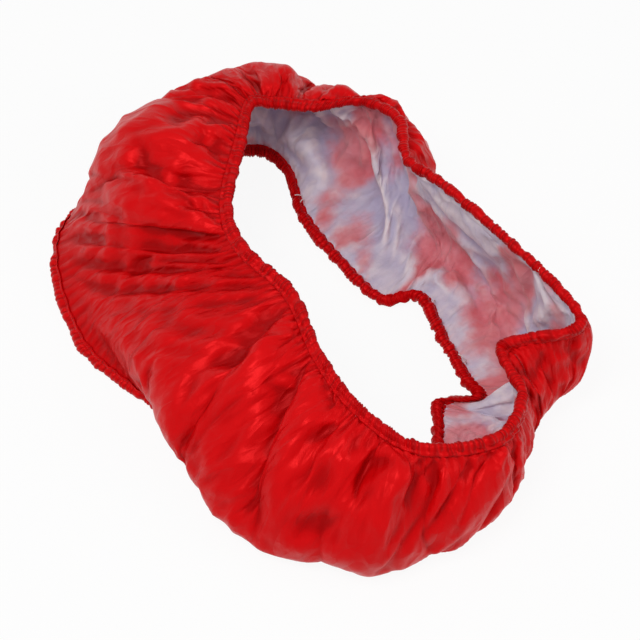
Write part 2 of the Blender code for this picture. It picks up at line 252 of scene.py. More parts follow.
def before_gathering(grid, loop, ease):
    """The band as it is cut, before the elastic draws it up: an even strip of the loop's length, on edge.

    Its width at each place is the drawn section's own length, with some ease.
    """
    over = np.linalg.norm(np.diff(grid, axis=1), axis=2)
    walked = np.concatenate([np.zeros((len(grid), 1)), np.cumsum(over, axis=1)], axis=1) * (1 + ease)
    middle = grid[:, grid.shape[1] // 3:2 * grid.shape[1] // 3]
    along = np.linalg.norm(np.roll(middle, -1, axis=0) - middle, axis=2).mean(axis=1)
    turn = 2 * math.pi * np.concatenate([[0], np.cumsum(along)[:-1]]) / along.sum()
    radius = loop / (2 * math.pi)
    places = np.stack([radius * np.cos(turn), radius * np.sin(turn)], axis=1)
    upper_edge = np.column_stack([places, walked[:, -1] + CUT_ABOVE_TABLE])
    strip = np.repeat(upper_edge[:, None], grid.shape[1], axis=1)
    strip[:, :, 2] -= walked
    return strip


def gathered(name, cut, drawn, hold, stiffness, weight, puff, frames):
    """The cut cloth after Blender's cloth has let the hems draw it up to their drawn place.

    hold is how firmly the cloth between the hems is led there as well, and puff the air that fills it.
    """
    ring = ring_of_cloth(name, cut)
    steps, rows = cut.shape[:2]
    ring.shape_key_add(name="cut")
    drawn_up = ring.shape_key_add(name="drawn_up")
    drawn_up.data.foreach_set("co", drawn.reshape(-1))
    drawn_up.value = 0.0
    drawn_up.keyframe_insert("value", frame=1)
    drawn_up.value = 1.0
    drawn_up.keyframe_insert("value", frame=DRAWN_UP_BY)
    led = ring.vertex_groups.new(name="led")
    led.add(list(range(steps * rows)), hold, "REPLACE")
    led.add([i * rows + j for i in range(steps) for j in (0, rows - 1)], 1.0, "REPLACE")
    bpy.ops.object.select_all(action="DESELECT")
    bpy.ops.mesh.primitive_plane_add(size=3.0, location=(0, 0, 0))
    table = bpy.context.object
    table.modifiers.new("table", "COLLISION")
    table.collision.thickness_outer = 0.001
    cloth = ring.modifiers.new("cloth", "CLOTH")
    cloth.settings.vertex_group_mass = "led"
    cloth.settings.quality = 5
    cloth.settings.mass = 0.015
    cloth.settings.tension_stiffness = 20
    cloth.settings.compression_stiffness = 20
    cloth.settings.shear_stiffness = 8
    cloth.settings.bending_stiffness = stiffness
    cloth.settings.air_damping = 2
    cloth.settings.tension_damping = 10
    cloth.settings.compression_damping = 10
    cloth.settings.shear_damping = 10
    cloth.settings.effector_weights.gravity = weight
    cloth.settings.use_pressure = puff > 0
    cloth.settings.uniform_pressure_force = puff
    cloth.collision_settings.collision_quality = 2
    cloth.collision_settings.distance_min = 0.001
    cloth.point_cache.frame_start = 1
    cloth.point_cache.frame_end = frames
    for number in range(1, frames + 1):
        bpy.context.scene.frame_set(number)
    shaped = ring.evaluated_get(bpy.context.evaluated_depsgraph_get()).to_mesh()
    points = np.empty(steps * rows * 3)
    shaped.vertices.foreach_get("co", points)
    bpy.data.actions.remove(ring.data.shape_keys.animation_data.action)
    bpy.data.objects.remove(table, do_unlink=True)
    bpy.data.objects.remove(ring, do_unlink=True)
    bpy.context.scene.frame_set(1)
    return points.reshape(cut.shape)


def halfway(rows):
    """Points between neighbours along the first axis, on a smooth curve through them."""
    return (9 * (rows[1:-2] + rows[2:-1]) - rows[:-3] - rows[3:]) / 16


def finer(grid):
    """The same surface with twice the points each way, smooth between the old ones."""
    wrapped = np.concatenate([grid[-1:], grid, grid[:2]])
    doubled = np.empty((2 * len(grid),) + grid.shape[1:])
    doubled[0::2] = grid
    doubled[1::2] = halfway(wrapped)
    turned = np.swapaxes(doubled, 0, 1)
    ends = np.concatenate([2 * turned[:1] - turned[1:2], turned, 2 * turned[-1:] - turned[-2:-1]])
    result = np.empty((2 * len(turned) - 1,) + turned.shape[1:])
    result[0::2] = turned
    result[1::2] = halfway(ends)
    return np.swapaxes(result, 0, 1)


def grid_normals(grid):
    """The outer normals of a ring of cloth."""
    round_it = np.roll(grid, -1, axis=0) - np.roll(grid, 1, axis=0)
    return unit(np.cross(np.gradient(grid, axis=1), round_it) + 1e-12)


def softened(grid, times):
    """The surface with its small folds smoothed out, the hems left where they are."""
    result = grid.copy()
    for _ in range(times):
        beside = (np.roll(result, 1, axis=0) + np.roll(result, -1, axis=0)) / 2
        over = (result[:, :-2] + result[:, 2:]) / 2
        result[:, 1:-1] = 0.5 * beside[:, 1:-1] + 0.5 * over
    return result


def from_hem(across, depth):
    """One at the upper hem and at the lower hem, each dying out over a share of the band."""
    return np.exp(-np.asarray(across) / depth), np.exp(-(1 - np.asarray(across)) / depth)


def gathered_hems(at, across, reach):
    """How far the gathers of both hems lift the cloth, dying out over a share of the band."""
    near_upper, near_lower = from_hem(across, reach)
    upper_wave = gathers(at, GATHERS_UPPER, GATHER_SEED_UPPER)
    lower_wave = gathers(at, GATHERS_LOWER, GATHER_SEED_LOWER)
    return GATHER_HEIGHT * (upper_wave[:, None] * near_upper + lower_wave[:, None] * near_lower)


round_at = np.arange(ROUND_STEPS) / ROUND_STEPS
evenly = np.linspace(0, 1, ACROSS_STEPS + 1)
across_at = evenly - ROWS_CROWDED_TO_HEMS * np.sin(2 * math.pi * evenly) / (2 * math.pi)
rise = gathered_hems(round_at, across_at, GATHER_REACH)
rise = rise + main_folds(round_at, across_at)
small_folds = slanting_waves(round_at, across_at, SMALL_FOLDS)
rise = rise + SMALL_FOLD_HEIGHT * small_folds * np.sin(math.pi * across_at)[None, :]
start = drawn_band(round_at, across_at) + facing_out(round_at, across_at) * rise[:, :, None]
start[:, :, 2] = np.maximum(start[:, :, 2], TABLE_CLEAR)
puffed = start + facing_out(round_at, across_at) * (PUFF * fade(across_at))[:, :, None]
puffed[:, :, 2] = np.maximum(puffed[:, :, 2], TABLE_CLEAR)
cut_band = before_gathering(puffed, LOOP_LENGTH, CUT_EASE)
shell = gathered(
    "shell_cloth", cut_band, puffed, hold=0.13, stiffness=0.5, weight=0.03, puff=6.0, frames=SETTLE_FRAMES)

moved = shell - start
strayed = np.linalg.norm(moved, axis=2, keepdims=True)
shell = start + moved * STRAY * np.tanh(strayed / STRAY) / np.maximum(strayed, 1e-9)
shell = finer(shell)
round_at = np.arange(2 * ROUND_STEPS) / (2 * ROUND_STEPS)
across_at = finer(np.repeat(across_at[None, :, None], 4, axis=0))[0, :, 0]


def puffs_and_creases(at, across):
    """Broad puffs that slant from hem to hem, with a sharp crease between each two."""
    wander = 0.8 * uneven(at, 9, PUFF_SEED)[:, None] + 0.5 * np.sin(2 * math.pi * across)[None, :]
    phase = math.pi * (PUFF_COUNT * at[:, None] + PUFF_SLANT * across[None, :] + 0.25) + wander
    size = np.clip(0.75 + 0.35 * uneven(at, 12, PUFF_SIZE_SEED), 0.25, 1.4)[:, None]
    puffs = np.abs(np.sin(phase)) ** 0.7 - 0.7
    return PUFF_HEIGHT * size * puffs * fade(across) ** 0.6 * free_of_seams(at)


def crinkles(at, across, waves):
    """Sharp wrinkles in several directions, which thin cloth keeps from being bunched up."""
    total = 0
    for count, slant, height, seed in waves:
        wander = 1.3 * uneven(at, 18, seed)[:, None] + 0.9 * np.sin(5 * across + seed)[None, :]
        ridge = 1 - np.abs(np.sin(math.pi * (count * at[:, None] + slant * across[None, :]) + wander))
        strength = 0.6 + 0.4 * np.sin(7 * across[None, :] + 2 * uneven(at, 14, seed + 1)[:, None])
        total = total + height * strength * ridge
    return total * np.sin(math.pi * np.clip(across, 0, 1))[None, :] ** 0.8


# The sharpest crumples beside the hems are smoothed, and the puffs and the wrinkles are pressed in.
calm = np.clip(1.5 * sum(from_hem(across_at, CALM_REACH)), 0, 0.9)[None, :, None]
shell = softened(shell, 2) * (1 - calm) + softened(shell, 50) * calm
pressed = puffs_and_creases(round_at, across_at) + crinkles(round_at, across_at, SHELL_WRINKLES)
pressed = pressed - WRINKLE_MEAN * np.sin(math.pi * across_at)[None, :]
shell = shell + grid_normals(softened(shell, 20)) * pressed[:, :, None]

# Fine pleats run out of the hems, and the seams draw a narrow ditch.
pleats_upper = gathers(round_at, PLEATS_UPPER, PLEAT_SEED_UPPER)
pleats_lower = gathers(round_at, PLEATS_LOWER, PLEAT_SEED_LOWER)
near_upper, near_lower = from_hem(across_at, PLEAT_REACH)
from_edge = 1 - np.exp(-np.minimum(across_at, 1 - across_at) / PLEAT_START)
pleats = pleats_upper[:, None] * near_upper + LOWER_PLEAT_SHARE * pleats_lower[:, None] * near_lower
pleats = PLEAT_HEIGHT * pleats * from_edge
seam_distance = from_seam(round_at) * MEAN_HEM_LENGTH
pleats = pleats - SEAM_DITCH * np.exp(-(seam_distance / SEAM_DITCH_WIDTH)**2)[:, None]
shell = shell + grid_normals(shell) * pleats[:, :, None]
shell[:, :, 2] = np.maximum(shell[:, :, 2], FLOOR_CLEAR)


def hem_frame(at, edge):
    """At one hem: the stitch line, the way out of the cloth's edge, and the outer normal."""
    inside = 1e-4 if edge == 0 else 1 - 1e-4
    line = drawn_band(at, [edge])[:, 0]
    return line, unit(line - drawn_band(at, [inside])[:, 0]), facing_out(at, [edge])[:, 0]


def with_turnings(grid, at):
    """The cloth with the narrow turning that goes into each hem."""
    upper = grid[:, :1] + hem_frame(at, 0)[1][:, None] * HEM_TURNING
    lower = grid[:, -1:] + hem_frame(at, 1)[1][:, None] * HEM_TURNING
    return np.concatenate([upper, grid, lower], axis=1)


def into_turnings(values):
    """Values at the cloth's points, with those at its edges carried on into the turnings."""
    return np.concatenate([values[:, :1], values, values[:, -1:]], axis=1)


def half_of(values, side):
    """The columns of the left or the right panel, with the seam's column in both."""
    rear = len(values) // 2
    return values[: rear + 1] if side == "left" else np.concatenate([values[rear:], values[:1]])


def panel_of_cloth(name, side, ring, inward, thickness, values):
    """The left or the right panel of a ring of cloth, with its flat cut as UV map and values at its points."""
    grid = half_of(with_turnings(ring, round_at), side)
    at = half_of(round_at, side)
    if side == "right":
        at[-1] = 1.0
    turning = HEM_TURNING / PANEL_WIDTH
    across = np.concatenate([[-turning], across_at, [1 + turning]])
    steps, rows = grid.shape[:2]
    number = np.arange(steps * rows).reshape(steps, rows)
    corners = [number[:-1, :-1], number[:-1, 1:], number[1:, 1:], number[1:, :-1]]
    if inward:
        corners.reverse()
    piece = new_piece(name, grid, np.stack(corners, axis=2).reshape(-1, 4).tolist())
    mesh = piece.data
    flat = np.stack(np.meshgrid(at * LOOP_LENGTH, across * PANEL_WIDTH, indexing="ij"), axis=2).reshape(-1, 2)
    layer = mesh.uv_layers.new(name="cut")
    loops = np.empty(len(mesh.loops), int)
    mesh.loops.foreach_get("vertex_index", loops)
    layer.data.foreach_set("uv", flat[loops].reshape(-1))
    for key, value in values.items():
        held = half_of(into_turnings(value), side)
        mesh.attributes.new(key, "FLOAT", "POINT").data.foreach_set("value", held.reshape(-1))
    bpy.ops.object.select_all(action="DESELECT")
    bpy.context.view_layer.objects.active = piece
    piece.select_set(True)
    wall = piece.modifiers.new("thickness", "SOLIDIFY")
    wall.thickness = thickness
    wall.offset = -1.0
    bpy.ops.object.modifier_apply(modifier="thickness")
    return piece


class Finish:
    """A socket in a material's node tree, so that shader sums read as plain sums."""

    def __init__(self, tree, end=None):
        self.tree, self.end = tree, end

    def node(self, kind, settings=None, sockets=None, out=0):
        """A new node of a kind, with its settings and its sockets' values or links."""
        new = self.tree.nodes.new("ShaderNode" + kind)
        for key, value in (settings or {}).items():
            setattr(new, key, value)
        for key, value in (sockets or {}).items():
            if isinstance(value, Finish):
                self.tree.links.new(value.end, new.inputs[key])
            else:
                new.inputs[key].default_value = value
        return Finish(self.tree, new.outputs[out])

    def sum(self, operation, first, second=0.0):
        return self.node("Math", {"operation": operation}, {0: first, 1: second})

    def __add__(self, other):
        return self.sum("ADD", self, other)

    def __sub__(self, other):
        return self.sum("SUBTRACT", self, other)

    def __rsub__(self, other):
        return self.sum("SUBTRACT", other, self)

    def __mul__(self, other):
        return self.sum("MULTIPLY", self, other)

    def __abs__(self):
        return self.sum("ABSOLUTE", self)

    __radd__ = __add__
    __rmul__ = __mul__

    def sine(self):
        return self.sum("SINE", self)

    def between(self, low, high):
        """The value stretched from low and high to 0 and 1, and held there."""
        return self.node(
            "MapRange", {"interpolation_type": "SMOOTHSTEP"}, {0: self, 1: low, 2: high, 3: 0.0, 4: 1.0})

    def mixed(self, first, second):
        """Two colours mixed by this value."""
        return self.node("Mix", {"data_type": "RGBA"}, {0: self, 6: first, 7: second}, 2)

    def object_place(self):
        return self.node("TexCoord", out=3)

    def place_on_cut(self):
        return self.node("TexCoord", out=2)

    def value_at_points(self, name):
        return self.node("Attribute", {"attribute_name": name}, out=2)

    def noise(self, place, scale, detail=2.0, roughness=0.5):
        """Cloudy noise from 0 to 1."""
        sockets = {"Vector": place, "Scale": scale, "Detail": detail, "Roughness": roughness}
        return self.node("TexNoise", None, sockets)

    def bump(self, height, strength):
        """A height in metres as a bump."""
        return self.node("Bump", None, {"Strength": strength, "Distance": 1.0, "Height": height})


def new_finish(name, **plain):
    """A material with its plain values set, its shader's node and a start for its sums."""
    material = bpy.data.materials.new(name)
    material.use_nodes = True
    shader = material.node_tree.nodes["Principled BSDF"]
    for key, value in plain.items():
        shader.inputs[key.replace("_", " ")].default_value = value
    return material, shader, Finish(material.node_tree)


def feed(finish, shader, **values):
    """Link values to the shader's sockets."""
    for key, value in values.items():
        finish.tree.links.new(value.end, shader.inputs[key.replace("_", " ")])


WEAVE_HEIGHT = 0.00002
TAFFETA_WARP = 0.0007
TAFFETA_WEFT = 0.0009
# The taffeta's reds: painted shade in the folds, plain, a painted highlight on the ridges, random clouds and
# specks.
FOLD_PAINTED_SHADE_RED = (0.37, 0.0004, 0.0014, 1)
PLAIN_RED = (0.61, 0.0012, 0.0028, 1)
RIDGE_PAINTED_HIGHLIGHT_RED = (0.76, 0.0050, 0.0070, 1)
CLOUD_RED = (0.53, 0.0010, 0.0026, 1)
SPECK_RED = (0.85, 0.02, 0.03, 1)
# Fine creases from being packed away: how close they lie along and across the cut, their turn and depth.
TAFFETA_CREASES = (
    ((30.0, 9.0, 1.0), 0.25, 0.016), ((44.0, 14.0, 1.0), -0.35, -0.010), ((95.0, 34.0, 1.0), 0.4, 0.0042))


def weave(finish, cut, warp_step, weft_step):
    """The height of a plain weave, laid out on the cut."""
    along = finish.node("SeparateXYZ", None, {0: cut})
    over = Finish(finish.tree, along.end.node.outputs[1])
    warp = (along * (2 * math.pi / warp_step)).sine()
    weft = (over * (2 * math.pi / weft_step)).sine()
    return warp * weft * WEAVE_HEIGHT


def from_crease(finish, cut, spread, turned, detail, roughness):
    """How far a place on the cut lies from the nearest of many fine creases."""
    laid = finish.node("Mapping", None, {0: cut, 2: (0.0, 0.0, turned), 3: spread})
    return abs(finish.noise(laid, 1.0, detail, roughness) - 0.5)


def taffeta_finish(name, on_cut):
    """Red coated taffeta: a fine close weave and a soft sheen, with painted shade in the folds and a painted
    highlight on ridges.
    """
    material, shader, finish = new_finish(
        name, Metallic=0.10, Specular_IOR_Level=0.20, Specular_Tint=(1.0, 0.25, 0.25, 1.0))
    place = finish.object_place()
    relief = finish.value_at_points("relief")
    cloud = finish.noise(place, 14.0, 3.0)
    speck = finish.noise(place, 420.0)
    # Painted shade deepens the red in the folds, and a painted highlight makes it paler on the ridges.
    fold = relief.between(-1.0, 0.2)
    ridge = relief.between(0.2, 1.0)
    red = fold.mixed(FOLD_PAINTED_SHADE_RED, PLAIN_RED)
    red = (ridge * 0.5).mixed(red, RIDGE_PAINTED_HIGHLIGHT_RED)
    red = (cloud.between(0.35, 0.7) * 0.25).mixed(red, CLOUD_RED)
    red = (speck.between(0.62, 0.8) * 0.08).mixed(red, SPECK_RED)
    feed(finish, shader, Base_Color=red, Roughness=0.29 + cloud * 0.16 - ridge * 0.04)
    if on_cut:
        cut = finish.place_on_cut()
        stretched = finish.node("Mapping", None, {0: cut, 3: (150.0, 30.0, 1.0)})
        streaks = finish.noise(stretched, 1.0, 4.0, 0.6)
        crumple = finish.noise(place, 75.0, 5.0, 0.62)
        height = weave(finish, cut, TAFFETA_WARP, TAFFETA_WEFT) + streaks * 0.0003 + crumple * 0.0004
        for spread, turned, depth in TAFFETA_CREASES:
            height = height - from_crease(finish, cut, spread, turned, 1.5, 0.4) * depth
    else:
        height = finish.noise(place, 260.0, 4.0) * 0.0006
    feed(finish, shader, Normal=finish.bump(height, 0.8))
    return material


shell_finish = taffeta_finish("red_taffeta", True)


def relief_of(grid, reach, depth):
    """How far each point stands over the softened cloth round it, from a fold at -1 to a ridge at 1."""
    lift = ((grid - softened(grid, reach)) * grid_normals(grid)).sum(axis=2)
    return np.tanh(lift / depth)


# How far the shell stands out; it sets the painted shade in its folds and the painted highlight on its ridges.
relief = 0.6 * relief_of(shell, 60, 0.0030) + 0.5 * relief_of(shell, 8, 0.0006)


def lying_flat(cut, side):
    """One panel's length and greatest width as it is cut, and its area."""
    half = half_of(cut, side)
    steps = np.linalg.norm(np.diff(half[:, 0, :2], axis=0), axis=1)
    widths = np.ptp(half[:, :, 2], axis=1)
    return (steps.sum(), widths.max()), (steps * (widths[1:] + widths[:-1]) / 2).sum()


for side in ("left", "right"):
    piece = panel_of_cloth("red_shell_" + side, side, shell, False, TAFFETA_THICKNESS, {"relief": relief})
    stands_for(piece, "shell_panel_" + side, shell_finish)
    flat, area = lying_flat(cut_band, side)


# Lining panels
# Two loose panels of thin, half see-through white nylon inside the shell, cut a little smaller and sewn into
# the same hems. Where the lining lies on the shell, the red that shows through is painted into its colour,
# and elsewhere it is pale.

LINING_THICKNESS = 0.0003
LINING_STEPS = 320
LINING_ROWS = 28
LINING_FRAMES = 18
LINING_LOOP = 1.80
LINING_EASE = 0.03
LINING_GATHER_REACH = 0.05
LINING_BILLOWS = 13
LINING_BILLOW = 0.012
LINING_FULLNESS = 1.5
LINING_SWAY = ((22, -1.7, 1.0, 2.6), (31, 2.9, 0.7, 4.4))
LINING_SWAY_HEIGHT = 0.0020
LINING_TABLE_CLEAR = 0.002
LINING_FLOOR_CLEAR = 0.0018
# How far the lining keeps off the shell at the hem, a little way from it, and elsewhere.
LINING_AT_HEM = 0.0006
LINING_BESIDE_HEM = 0.0045
LINING_CLEAR = 0.0022
# The share of the band at each edge that is sewn into the hem, and stays there.
LINING_SEWN = 0.012
PULL_ROUNDS = 16
PULL_STEP = 0.0022
LINING_WRINKLES = ((34, 3.0, 0.0030, 81), (23, -5.0, 0.0030, 83), (14, 8.0, 0.0030, 85))

lining_at = np.arange(LINING_STEPS) / LINING_STEPS
lining_over = np.linspace(0, 1, LINING_ROWS + 1)


def read_grid(grid, across, new_at, new_across):
    """The grid read at other places round the loop and across the band."""
    column = np.asarray(new_at) * len(grid)
    first = np.floor(column).astype(int) % len(grid)
    share = (column - np.floor(column))[:, None, None]
    rows = grid[first] * (1 - share) + grid[(first + 1) % len(grid)] * share
    place = np.interp(new_across, across, np.arange(len(across)))
    low = np.minimum(np.floor(place).astype(int), len(across) - 2)
    part = (place - low)[None, :, None]
    return rows[:, low] * (1 - part) + rows[:, low + 1] * part


wave = 0.55 + 0.45 * np.cos(LINING_BILLOWS * 2 * math.pi * lining_at[:, None] + 2.0 * lining_over[None, :])
billow = LINING_FULLNESS * LINING_BILLOW * fade(lining_over) * wave
billow = billow * free_of_seams(lining_at) * (1 - lining_over)[None, :]
sway = LINING_SWAY_HEIGHT * (1 + slanting_waves(lining_at, lining_over, LINING_SWAY))
inward = billow + sway * np.sin(math.pi * lining_over)[None, :] + LINING_AT_HEM
inner = drawn_band(lining_at, lining_over)
cut_inner = before_gathering(inner, LINING_LOOP, LINING_EASE)
hem_wave = gathered_hems(lining_at, lining_over, LINING_GATHER_REACH)
lift = hem_wave + main_folds(lining_at, lining_over) - inward
inner = inner + facing_out(lining_at, lining_over) * lift[:, :, None]
inner[:, :, 2] = np.maximum(inner[:, :, 2], LINING_TABLE_CLEAR)
lining = gathered(
    "lining_cloth", cut_inner, inner, hold=0.12, stiffness=0.3, weight=0.06, puff=0.0, frames=LINING_FRAMES)
lining = finer(finer(lining))
lining_over = np.linspace(0, 1, lining.shape[1])
lining = read_grid(lining, lining_over, round_at, across_at)
lining_at, lining_over = round_at, across_at

# Beside the hems, where it is sewn in, the lining follows the shell.
edge = np.minimum(lining_over, 1 - lining_over)
off_hem = np.clip((edge - 0.04) / 0.16, 0, 1)[None, :, None]
off_hem = off_hem**2 * (3 - 2 * off_hem)
by_hem = softened(shell, 14)
off_shell = LINING_AT_HEM + LINING_BESIDE_HEM * np.clip((edge - 0.008) / 0.05, 0, 1)
by_hem = by_hem - grid_normals(by_hem) * off_shell[None, :, None]
lining = by_hem * (1 - off_hem) + lining * off_hem

# The shell as a surface that the lining stays inside of.
shell_ring = ring_of_cloth("shell_test", shell)
shell_tree = BVHTree.FromPolygons(
    [point.co for point in shell_ring.data.vertices],
    [list(face.vertices) for face in shell_ring.data.polygons])
bpy.data.objects.remove(shell_ring, do_unlink=True)
loose_rows = (lining_over > LINING_SEWN) & (lining_over < 1 - LINING_SEWN)


def kept_inside(grid, deep):
    """The lining drawn back to where a point deep inside the skirt can see it."""
    points = grid.reshape(-1, 3).copy()
    free = np.tile(loose_rows, len(grid))
    for number, (point, behind) in enumerate(zip(points, deep.reshape(-1, 3))):
        way = Vector(point) - Vector(behind)
        reach = way.length
        way.normalize()
        hit = shell_tree.ray_cast(Vector(behind), way, reach + LINING_CLEAR)[3]
        if free[number] and hit is not None:
            points[number] = Vector(behind) + way * (hit - LINING_CLEAR)
    return points.reshape(grid.shape)


deep_inside = softened(shell, 200)
depth = (0.006 + 0.026 * np.sin(math.pi * lining_over))[None, :, None]
deep_inside = deep_inside - grid_normals(deep_inside) * depth
for _ in range(3):
    lining = softened(kept_inside(lining, deep_inside), 2)
lining = kept_inside(lining, deep_inside)
lining[:, :, 2] = np.maximum(lining[:, :, 2], LINING_FLOOR_CLEAR)

# Where its faces still cross the shell, the lining is pulled in by small steps.
for _ in range(PULL_ROUNDS):
    ring = ring_of_cloth("lining_test", lining)
    corners = np.array([list(face.vertices) for face in ring.data.polygons])
    bpy.data.objects.remove(ring, do_unlink=True)
    crossing = BVHTree.FromPolygons(lining.reshape(-1, 3).tolist(), corners.tolist()).overlap(shell_tree)
    pulled = np.zeros(lining.shape[:2])
    pulled.reshape(-1)[np.unique(corners[[pair[0] for pair in crossing]])] = 1.0
    pulled[:, ~loose_rows] = 0.0
    if not pulled.any():
        break
    pulled = np.clip(3 * softened(pulled[:, :, None], 3), 0, 1)
    back = deep_inside - lining
    step = np.minimum(PULL_STEP / np.maximum(np.linalg.norm(back, axis=2, keepdims=True), 1e-6), 0.5)
    lining = lining + (back * step + 0.4 * (softened(lining, 5) - lining)) * pulled

wrinkled = crinkles(lining_at, lining_over, LINING_WRINKLES)
lining = lining - grid_normals(softened(lining, 10)) * wrinkled[:, :, None]
lining[:, :, 2] = np.maximum(lining[:, :, 2], LINING_FLOOR_CLEAR)
gap = np.array([shell_tree.find_nearest(Vector(point))[3] for point in lining.reshape(-1, 3)])
gap = gap.reshape(lining.shape[:2])


LINING_WEAVE = 0.0008
SHADED_LILAC = (0.50, 0.45, 0.60, 1)
PALE_LILAC = (0.88, 0.79, 0.83, 1)
MOTTLED_LILAC = (0.62, 0.56, 0.70, 1)
PAINTED_CREASE_SHADOW_BLUE = (0.44, 0.42, 0.64, 1)
# Painted show-through: the pinks where the red shell shows through the lining.
PAINTED_SHOW_THROUGH_DEEP_PINK = (0.72, 0.085, 0.095, 1)
PAINTED_SHOW_THROUGH_LIGHT_PINK = (0.77, 0.27, 0.30, 1)
# Its fine creases, as on the shell, each with how strongly its line of painted shadow is drawn.
LINING_CREASES = (((18.0, 13.0, 1.0), 0.6, 0.020, 0.32), ((42.0, 30.0, 1.0), -0.4, 0.006, 0.14))


def lining_finish_for(name):
    """Thin white nylon with a lilac cast; the shell's red showing through it and the shade in its folds are
    painted.
    """
    material, shader, finish = new_finish(name, Sheen_Weight=0.25, Sheen_Roughness=0.5, IOR=1.42)
    place = finish.object_place()
    cut = finish.place_on_cut()
    gap = finish.value_at_points("standoff")
    relief = finish.value_at_points("relief")
    cloud = finish.noise(place, 16.0, 4.0, 0.6)
    fine = finish.noise(place, 110.0, 4.0, 0.6)
    # Painted show-through: pink and red where the lining lies close on the shell, pale where it hangs off.
    off = (gap + (cloud - 0.5) * 1.1).between(0.18, 0.62)
    pale = relief.between(-0.9, 0.6).mixed(SHADED_LILAC, PALE_LILAC)
    pale = (fine.between(0.45, 0.75) * 0.30).mixed(pale, MOTTLED_LILAC)
    red = cloud.between(0.3, 0.7).mixed(PAINTED_SHOW_THROUGH_DEEP_PINK, PAINTED_SHOW_THROUGH_LIGHT_PINK)
    height = finish.noise(place, 55.0, 5.0, 0.6) * 0.0018
    for spread, turned, depth, shade in LINING_CREASES:
        crease = from_crease(finish, cut, spread, turned, 2.5, 0.5)
        height = height - crease * depth
        # Each crease also gets a thin line of painted bluish shadow.
        line = 1 - crease.between(0.0, 0.10)
        pale = (line * shade).mixed(pale, PAINTED_CREASE_SHADOW_BLUE)
    height = weave(finish, cut, LINING_WEAVE, LINING_WEAVE) + height
    colour = (off * 0.87 + 0.13).mixed(red, pale)
    feed(finish, shader, Base_Color=colour, Roughness=0.52 + fine * 0.14, Normal=finish.bump(height, 0.7))
    return material


lining_finish = lining_finish_for("white_lining")
lining_relief = relief_of(lining, 30, 0.0028)

# How far the lining hangs off the shell, as its rank among the places on the same row; it sets where the red
# that shows through is painted.
gap = softened(gap[:, :, None], 40)[:, :, 0]
standoff = np.argsort(np.argsort(gap, axis=0), axis=0) / len(gap)
standoff = softened(standoff[:, :, None], 30)[:, :, 0]
for side in ("left", "right"):
    piece = panel_of_cloth(
        "white_lining_" + side, side, lining, True, LINING_THICKNESS,
        {"standoff": standoff, "relief": -lining_relief})
    stands_for(piece, "lining_panel_" + side, lining_finish)
    flat, area = lying_flat(cut_inner, side)


# Hem casings
# A strip of the same red taffeta folded over each edge of the band and sewn through, as a tunnel for the
# elastic. The drawn-up elastic crimps it all the way round, so that it looks like a fat rope.

CASING_CRIMP = 0.0052
CASING_COLUMNS_PER_CRIMP = 7
CASING_WALL = 0.0005
CASING_CENTRE = 0.0079
CASING_LUMPS = 0.13
CASING_SWAY = 0.0006
CRIMP_DEPTH = 0.42
CRIMP_DEPTH_VARIES = 0.14
LEG_IN_CRIMP = 0.85
LEG_PUFF = 0.55
# Half the folded strip in millimetres, from its raw edge to the fold: out of the cloth, and off the middle.
CASING_SECTION = [
    (-1.6, 1.00), (0.2, 1.60), (2.0, 1.15), (3.2, 1.80), (4.4, 3.10), (5.9, 4.00), (7.9, 4.25),
    (9.8, 3.70), (11.2, 2.25), (11.8, 0.0),
]


def crimps(at, count, seed, turn):
    """The puffs between the crimps of a drawn-up casing: 0 in a crimp and 1 on a puff."""
    wander = 1.5 * uneven(at, 70, seed) + 0.8 * uneven(at, 200, seed + 1)
    lean = 0.5 + 0.6 * uneven(at, 30, seed + 2)
    phase = math.pi * count * np.asarray(at)[:, None] + wander[:, None] + lean[:, None] * turn[None, :]
    return np.abs(np.sin(phase)) ** 0.8


def casing_grid(edge, at, fullness, hem_gathers, gather_seed, crimp_count, crimp_seed):
    """The outer side of a casing: a closed section from raw edge to raw edge at each place round the hem."""
    half = np.array(CASING_SECTION) / 1000
    section = np.concatenate([half, (half * [1, -1])[-2::-1]])
    line, away, out = hem_frame(at, edge)
    turn = np.linspace(-1, 1, len(section))
    puffs = crimps(at, crimp_count, crimp_seed, turn)
    lumps = 1 + CASING_LUMPS * np.clip(uneven(at, 110, crimp_seed + 5), -2, 2)
    depth = CRIMP_DEPTH + CRIMP_DEPTH_VARIES * np.clip(uneven(at, 60, crimp_seed + 7), -1.5, 1.5)
    swell = (fullness - depth[:, None] * (1 - puffs)) * lumps[:, None]
    centre = np.array([CASING_CENTRE, 0.0])
    grown = (section - centre)[None] * swell[:, :, None] + centre
    legs = np.repeat(section[None], len(at), axis=0)
    legs[:, :, 1] *= LEG_IN_CRIMP + LEG_PUFF * puffs
    blend = np.clip((section[:, 0] - 0.0015) / 0.003, 0, 1)[None, :, None]
    shaped = legs * (1 - blend) + grown * blend
    wave = GATHER_HEIGHT * gathers(at, hem_gathers, gather_seed)
    sway = CASING_SWAY * np.clip(uneven(at, 80, crimp_seed + 9), -2, 2)
    off_line = wave[:, None] * (1 - blend[:, :, 0]) + sway[:, None] * blend[:, :, 0]
    beyond, off = shaped[:, :, :1], shaped[:, :, 1:] + off_line[:, :, None]
    return line[:, None] + away[:, None] * beyond + out[:, None] * off


def softened_ring(grid, times):
    """A ring with its crimps smoothed out along its length."""
    result = grid.copy()
    for _ in range(times):
        result = 0.5 * result + 0.25 * (np.roll(result, 1, axis=0) + np.roll(result, -1, axis=0))
    return result


def casing_normals(outer):
    """The outer normals of a casing."""
    round_it = np.roll(outer, -1, axis=0) - np.roll(outer, 1, axis=0)
    return unit(np.cross(np.gradient(outer, axis=1), round_it))


